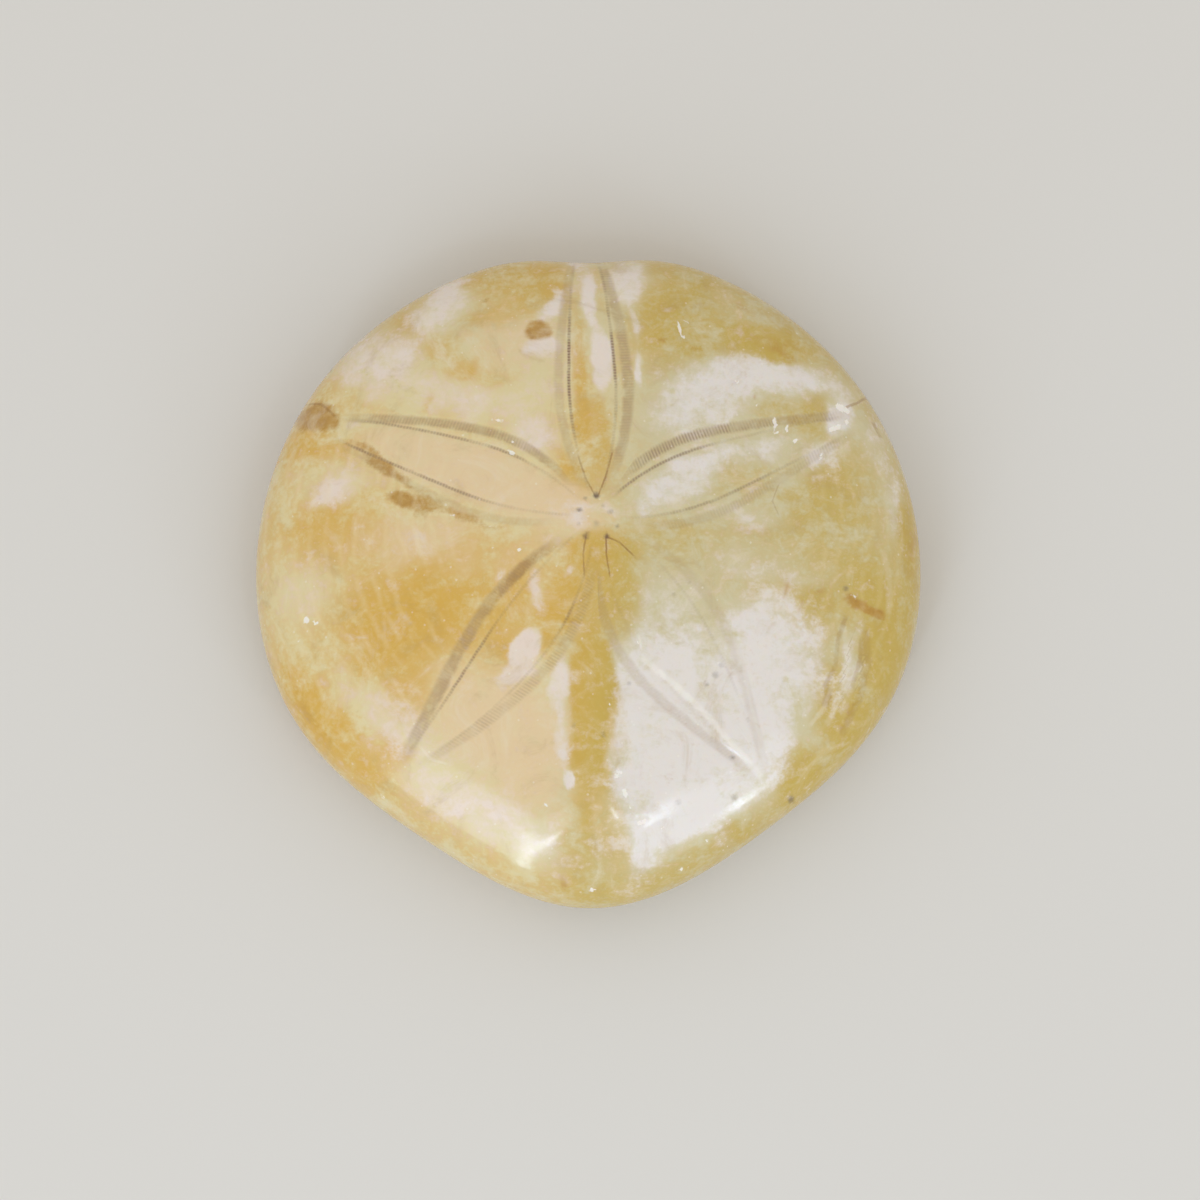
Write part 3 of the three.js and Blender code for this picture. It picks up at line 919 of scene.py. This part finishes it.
class StoneColours:
    """Lays the stone's colours over each other in a material, each from the fields that the
    mesh holds and broken up by the cloudy patterns."""

    def __init__(self, tree, colours):
        self.tree = tree
        self.colours = {name: (*getattr(colours, name), 1.0) for name in type(colours).__annotations__}
        self.field = {name: add(tree, "Attribute", out="Fac", attribute_name=name) for name in FIELDS}
        self.place = add(tree, "TexCoord", out="Object")
        turned = {"Vector": self.place, "Rotation": (0, 0, math.radians(CRYSTAL_TURN)),
                  "Scale": (FEATHER_WIDTH, 1, 1)}
        along_crystals = add(tree, "Mapping", turned)
        self.pattern = {}
        for name, (size, detail, rough, warp) in PATTERNS.items():
            links = {"Vector": along_crystals if name == "feather" else self.place,
                     "Scale": 1 / (size * MM), "Detail": detail, "Roughness": rough,
                     "Distortion": warp}
            noise = add(tree, "TexNoise", links)
            self.pattern[name] = add(tree, "Math", {0: noise, 1: 0.5}, operation="SUBTRACT")
        self.body = None

    def moved(self, value, wobbles):
        """A value moved about by the patterns that wobbles names, each times its strength."""
        for name, strength in wobbles.items():
            links = {0: self.pattern[name], 1: strength, 2: value}
            value = add(self.tree, "Math", links, operation="MULTIPLY_ADD")
        return value

    def edge(self, value, low, high, to=(0.0, 1.0), **wobbles):
        """A soft edge, where a value passes from low to high."""
        links = {"Value": self.moved(value, wobbles), "From Min": low, "From Max": high,
                 "To Min": to[0], "To Max": to[1]}
        return add(self.tree, "MapRange", links, interpolation_type="SMOOTHSTEP")

    def stroke(self, offset, full, gone, **wobbles):
        """A line or a spot, from its full strength near its middle to where it is gone."""
        away = add(self.tree, "Math", {0: self.moved(offset, wobbles)}, operation="ABSOLUTE")
        return self.edge(away, full, gone, to=(1.0, 0.0))

    def mix(self, under, over, *shares):
        """A colour laid over another, as strongly as all the shares multiplied together."""
        share = shares[0]
        for more in shares[1:]:
            share = add(self.tree, "Math", {0: share, 1: more}, operation="MULTIPLY")
        under, over = (self.colours[c] if isinstance(c, str) else c for c in (under, over))
        return add(self.tree, "Mix", {"Factor": share, 6: under, 7: over}, out=2, data_type="RGBA")

    def cover(self, colour, *shares):
        """Lays a colour over everything so far."""
        self.body = self.mix(self.body, colour, *shares)

    def stains(self):
        """Iron and milk in the calcite, with a painted highlight and a painted reflection among the milk,
        and veins of cleaner and of cloudier calcite.
        """
        mask = {}
        for name, (by_broad, by_blotch, by_fleck, low, high) in MOTTLING.items():
            value = self.field["rust" if name == "umber" else name]
            mask[name] = self.edge(value, low, high, broad=by_broad, blotch=by_blotch,
                                   fleck=by_fleck, feather=FEATHERING)
        warm = self.field["warm"]
        ground = self.mix("straw", "cream", warm)
        deep = self.mix("straw_honey", "amber_honey", warm)
        self.body = self.mix(ground, deep, mask["honey"])
        self.cover("peach", mask["peach"], 0.85)
        # Milky calcite, and in two places a painted highlight and a painted reflection.
        self.cover(self.mix("cool_milk", "rose_milk", warm), mask["milk"], 0.95)
        self.cover("rust", mask["rust"], 0.9)
        self.cover("umber", mask["umber"], 0.32)
        self.cover("shade", self.edge(self.pattern["veins"], 0.0, 0.3, to=(0.0, 0.4)))
        self.cover("light", self.edge(self.pattern["veins"], 0.0, -0.3, to=(0.0, 0.4)))

    def plates(self):
        """Tubercles, worn flush: too fine to see on the top and clear beneath. Then the growth
        lines, thin and broken, in the plates between the petals."""
        links = {"Vector": self.place, "Scale": 1 / (TUBERCLE_PITCH * MM), "Randomness": 0.7}
        cells = add(self.tree, "TexVoronoi", links)
        self.cover("growth", self.stroke(cells, 0.16, 0.3), self.field["tubercles"])
        turn = add(self.tree, "Math", {0: self.field["growth"]}, operation="FRACT")
        middle = add(self.tree, "Math", {0: turn, 1: 0.5}, operation="SUBTRACT")
        line = self.stroke(middle, 0.0, 0.3)
        broken = self.edge(self.pattern["broad"], -0.12, 0.14)
        self.cover("growth", line, self.field["growth_shown"], broken, 0.24)

    def petals(self):
        """Each petal's outer bands, their stripes of pore pairs, and its inner lines of pores."""
        field, pattern = self.field, self.pattern
        turns = add(self.tree, "Math", {0: field["along"], 1: 2 * math.pi / PORE_PITCH},
                    operation="MULTIPLY")
        wave = add(self.tree, "Math", {0: turns}, operation="SINE")
        band = self.stroke(field["from_band"], 0.3, 0.8, blotch=0.5)
        worn = self.edge(pattern["blotch"], -0.2, 0.15, to=(0.5, 1.0))
        self.cover("band", band, field["band"], worn, 0.6)
        worn = self.edge(pattern["broad"], -0.15, 0.1)
        stripes = self.edge(wave, -0.7, 0.7)
        self.cover("line", band, field["band"], stripes, field["stripes"], worn, 0.5)
        line = self.stroke(field["from_line"], 0.05, LINE_HALF_WIDTH, fleck=0.25)
        pores = self.edge(wave, -1.0, 0.6, to=(0.6, 1.0))
        worn = self.edge(pattern["broad"], -0.16, 0.08, to=(0.3, 1.0))
        self.cover("line", line, field["line"], pores, worn, 0.85)

    def flaws(self):
        """Pale flecks, milky seams and a painted highlight along a petal's groove, rusty cracks, chips
        and painted highlights, pores, specks and the dark openings beneath. What comes back is where the
        chips and the painted highlights are."""
        field, pattern = self.field, self.pattern
        cells = add(self.tree, "TexVoronoi", {"Vector": self.place, "Scale": 1 / (FLAW_PITCH * MM)})
        self.cover("chip_and_glint", self.stroke(cells, 0.05, 0.1, fleck=0.12), 0.3)
        # Milky seams, and a painted highlight along the hind right petal's groove.
        seam = self.stroke(field["seam"], 0.4, 1.8, fleck=1.5)
        broken = self.edge(pattern["broad"], -0.2, 0.1, to=(0.4, 1.0))
        self.cover("chip_and_glint", seam, field["seam_and_highlight_shown"], broken)
        crack = self.stroke(field["crack"], 0.6, 1.8, fleck=2.0)
        broken = self.edge(pattern["blotch"], -0.2, 0.1, to=(0.4, 1.0))
        self.cover("umber", crack, field["crack_shown"], broken)
        # Chips, and painted highlights in shallow dents.
        chip_and_glint = self.edge(field["chip_and_glint"], 0.4, 0.75, fleck=1.2)
        self.cover("chip_and_glint", chip_and_glint, 0.85)
        dot = self.edge(field["dot"], -0.35, 0.3, to=(1.0, 0.0), fleck=0.5)
        self.cover("pore", dot, field["dot_shown"], 0.8)
        self.cover("pore", field["throat"], 0.5)
        return chip_and_glint


def polished_calcite(colours):
    """Calcite, ground and polished: a fossil whose test and filling are one translucent stone.

    The polish gives clear highlights over a body that light enters, so edges glow a little and
    the stains look as if they lie under the surface. Iron stains it honey and rust, and the
    milky parts are calcite full of tiny flaws. Where it is chipped it is white and rough. A few white and
    milky marks are painted highlights, and one milky patch is partly a painted reflection."""
    material, tree = blank_material("polished_calcite")
    stone = StoneColours(tree, colours)
    stone.stains()
    stone.plates()
    stone.petals()
    chip_and_glint = stone.flaws()
    unevenness = {0: stone.pattern["grain"], 1: 0.4, 2: stone.pattern["blotch"]}
    height = add(tree, "Math", unevenness, operation="MULTIPLY_ADD")
    shader = add(tree, "BsdfPrincipled", {
        "Base Color": stone.body,
        "Roughness": stone.edge(chip_and_glint, 0.0, 1.667, to=(0.13, 0.5), fleck=0.5),
        "IOR": 1.6,  # calcite's lies from 1.49 to 1.66
        "Subsurface Weight": 0.25,
        "Subsurface Radius": (1.0, 0.62, 0.3),
        "Subsurface Scale": 2 * MM,
        "Normal": add(tree, "Bump", {"Height": height, "Strength": 0.35, "Distance": 0.02 * MM}),
    })
    add(tree, "OutputMaterial", {"Surface": shader})
    return material


def matt_paper(colours):
    """Matt coated paper, rolled out flat: an even pale surface with no shine."""
    material, tree = blank_material("matt_paper")
    place = add(tree, "TexCoord", out="Object")
    links = {"Vector": place, "Scale": 1 / (PAPER_FIBRES * MM), "Detail": 2.0}
    fibres = add(tree, "TexNoise", links)
    shader = add(tree, "BsdfPrincipled", {
        "Base Color": (*colours.floor, 1.0),
        "Roughness": 0.8,
        "Normal": add(tree, "Bump", {"Height": fibres, "Strength": 0.1, "Distance": 0.02 * MM}),
    })
    add(tree, "OutputMaterial", {"Surface": shader})
    return material


# ---------------- operators
class SANDDOLLAR_OT_test(bpy.types.Operator):
    """Makes the fossil: its dome, petals, pores, chips, rim, foot and mouth, in one closed mesh"""

    bl_idname = "sand_dollar.test"
    bl_label = "Fossil Test"

    def execute(self, context):
        sizes = context.scene.sand_dollar_sizes
        surface = Surface(sizes).build()
        x, y, z, reach, under = surface.points()
        dx = x - surface.apex[0]
        dy = y - surface.apex[1]
        petal = petal_fields(dx, dy)
        vent = 1 - ease(0.45, 1.15, ellipse(x, y, *VENT))
        z = z + relief(dx, dy, reach, petal, sizes) * (1 - under)
        z = z + sizes.vent_depth / MM * vent * under
        self.fit(x, y, z)
        mesh = bpy.data.meshes.new("polished_test")
        mesh.from_pydata(np.stack([x, y, z], 1) * MM, [], surface.faces())
        if mesh.validate():
            raise RuntimeError("the test's mesh has faults")
        mesh.polygons.foreach_set("use_smooth", np.ones(len(mesh.polygons), bool))
        self.paint(mesh, dx, dy, x, y, reach, under, petal, sizes)
        piece = bpy.data.objects.new("polished_test", mesh)
        context.scene.collection.objects.link(piece)
        mesh.materials.append(polished_calcite(context.scene.sand_dollar_colours))
        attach(piece, "root")
        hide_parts(NODE)
        return {"FINISHED"}

    def fit(self, x, y, z):
        """Moves and stretches the points, in place, to fill the CAD model's box."""
        for values, low, high in zip((x, y, z), CAD_LOW, CAD_HIGH):
            scale = (high - low) / MM / (values.max() - values.min())
            values -= values.min()
            values *= scale
            values += low / MM

    def paint(self, mesh, dx, dy, x, y, reach, under, petal, sizes):
        """Stores what the material reads at each point."""
        above = 1 - under
        below = under * ease(0.97, 0.84, reach)
        warm = ease(9, -7, dx - 0.15 * dy) * (1 - 0.5 * ease(15, 30, dy))
        rim = (0.5 - 0.3 * warm) * ease(0.88, 0.99, reach + 0.2 * below)
        stains = stain_fields(dx, dy)
        stains["honey"] = 1 - (1 - stains["honey"]) * (1 - rim)
        hidden = hidden_stains(x, y, reach)
        fields = {kind: stains[kind] * (1 - below) + hidden[kind] * below for kind in stains}
        for name, values in petal.items():
            fields[name] = values * above if name in ("line", "band", "stripes") else values
        fields["growth"], growth_shown = growth_fields(dx, dy)
        fields["crack"], crack_shown = marks(dx, dy, CRACKS)
        fields["seam"], seam_and_highlight_shown = marks(dx, dy, SEAMS_AND_HIGHLIGHT)
        fields["dot"], dot_shown = dots(dx, dy)
        fields |= {
            "warm": warm * (1 - below) + 0.5 * below,
            "growth_shown": growth_shown * (1 - below),
            "crack_shown": crack_shown * above,
            "seam_and_highlight_shown": seam_and_highlight_shown * above,
            "dot_shown": dot_shown * above,
            "throat": throat(x, y, reach, sizes) * under,
            "tubercles": 0.06 + 0.4 * below,
            "chip_and_glint": chip_and_glint_marks(dx, dy) * above,
        }
        for name in FIELDS:
            store(mesh, name, fields[name])


class SANDDOLLAR_OT_stage(bpy.types.Operator):
    """Makes the pale floor, the soft lights, the camera and the plain surroundings"""

    bl_idname = "sand_dollar.stage"
    bl_label = "Stage"

    def execute(self, context):
        scene = context.scene
        settings = scene.sand_dollar_stage
        middle = (CAD_LOW + CAD_HIGH) / 2
        height = scene.sand_dollar_sizes.widest_height
        aim = Vector((middle.x + settings.aim_right, middle.y + settings.aim_forward, height))
        self.floor(scene)
        self.camera(scene, settings, aim)
        for light in LIGHTS:
            self.softbox(scene, settings, aim, *light)
        self.surroundings(scene, settings)
        return {"FINISHED"}

    def floor(self, scene):
        """A square of paper, 3 m wide."""
        half = 1.5
        corners = [(-half, -half, 0), (half, -half, 0), (half, half, 0), (-half, half, 0)]
        mesh = bpy.data.meshes.new("floor")
        mesh.from_pydata(corners, [], [(0, 1, 2, 3)])
        mesh.materials.append(matt_paper(scene.sand_dollar_colours))
        floor = bpy.data.objects.new("floor", mesh)
        scene.collection.objects.link(floor)

    def camera(self, scene, settings, aim):
        data = bpy.data.cameras.new("camera")
        data.sensor_width = 36  # mm, as the lens is
        data.lens = data.sensor_width * settings.camera_distance / settings.view_width
        data.clip_start = 0.01
        camera = bpy.data.objects.new("camera", data)
        rise = settings.camera_rise
        camera.location = aim + settings.camera_distance * Vector((0, -math.cos(rise), math.sin(rise)))
        camera.rotation_euler = (math.pi / 2 - rise, 0, 0)
        scene.collection.objects.link(camera)
        scene.camera = camera

    def softbox(self, scene, settings, aim, name, direction, rise, distance, width, height, power):
        """A rectangular light that faces the stone, from a direction and a height in degrees."""
        data = bpy.data.lights.new(name, "AREA")
        data.shape = "RECTANGLE"
        data.size = width
        data.size_y = height
        data.energy = power
        data.color = settings.light_colour
        turn, rise = math.radians(direction), math.radians(rise)
        away = Vector((math.cos(turn) * math.cos(rise), math.sin(turn) * math.cos(rise), math.sin(rise)))
        light = bpy.data.objects.new(name, data)
        light.location = aim + away * distance
        light.rotation_euler = away.to_track_quat("Z", "Y").to_euler()
        scene.collection.objects.link(light)

    def surroundings(self, scene, settings):
        world = bpy.data.worlds.new("plain room")
        world.use_nodes = True
        background = world.node_tree.nodes["Background"]
        background.inputs["Color"].default_value = (*settings.room_colour, 1.0)
        background.inputs["Strength"].default_value = settings.room_strength
        scene.world = world
        scene.view_settings.view_transform = "Standard"


class SANDDOLLAR_PT_panel(bpy.types.Panel):
    """Lists the makers and their settings"""

    bl_idname = "SANDDOLLAR_PT_panel"
    bl_label = "Sand Dollar"
    bl_space_type = "VIEW_3D"
    bl_region_type = "UI"
    bl_category = "Sand Dollar"

    def draw(self, context):
        for maker in MAKERS:
            self.layout.operator(maker.bl_idname)
        for group in GROUPS:
            settings = getattr(context.scene, group)
            box = self.layout.box()
            for name in type(settings).__annotations__:
                box.prop(settings, name)


MAKERS = (SANDDOLLAR_OT_test, SANDDOLLAR_OT_stage)
GROUPS = {
    "sand_dollar_sizes": SandDollarSizes,
    "sand_dollar_colours": SandDollarColours,
    "sand_dollar_stage": SandDollarStage,
}


def register():
    for made in (*GROUPS.values(), *MAKERS, SANDDOLLAR_PT_panel):
        bpy.utils.register_class(made)
    for name, group in GROUPS.items():
        setattr(bpy.types.Scene, name, PointerProperty(type=group))


def unregister():
    for name in GROUPS:
        delattr(bpy.types.Scene, name)
    for made in reversed((*GROUPS.values(), *MAKERS, SANDDOLLAR_PT_panel)):
        bpy.utils.unregister_class(made)


def main():
    register()
    bpy.ops.sand_dollar.test()
    bpy.ops.sand_dollar.stage()


if __name__ == "__main__":
    main()
